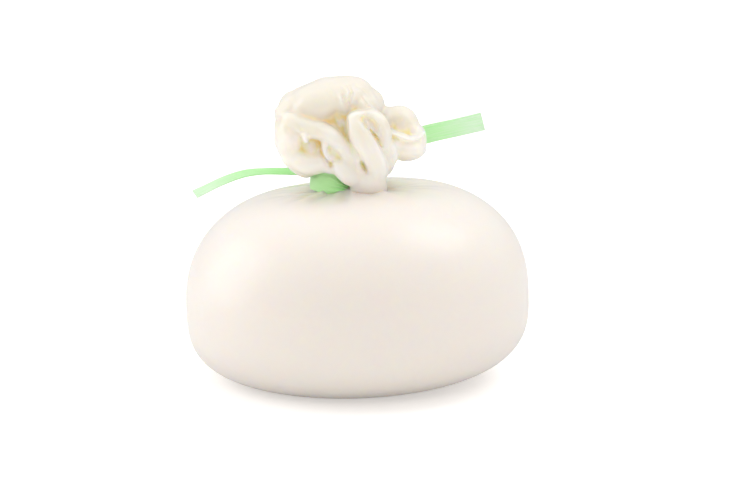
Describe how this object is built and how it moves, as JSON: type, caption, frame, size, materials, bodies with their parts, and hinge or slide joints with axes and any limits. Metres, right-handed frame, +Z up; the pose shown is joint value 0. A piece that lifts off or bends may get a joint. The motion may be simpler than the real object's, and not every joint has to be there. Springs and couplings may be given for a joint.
{
  "type": "burrata",
  "caption": "Whole burrata: a soft white pouch of stretched curd, gathered and folded into a crumpled head at the top and tied round the neck with a flat green ribbon.",
  "frame": {"origin": "centre of the flat patch that the pouch rests on, below its middle", "axes": "+Z up, +X along the longest side of the pouch and to the right of someone who faces the folded front of the head, -Y towards that front"},
  "size_m": [0.092, 0.0878, 0.0814],
  "materials": {
    "curd": "moist, smooth and slightly translucent ivory skin, warmer in the creases",
    "ribbon": "thin pale green strip, satin, with fine lengthwise ribs"
  },
  "bodies": {
    "root": {"pouch": "curd", "ribbon_tie": "ribbon"}
  },
  "joints": []
}
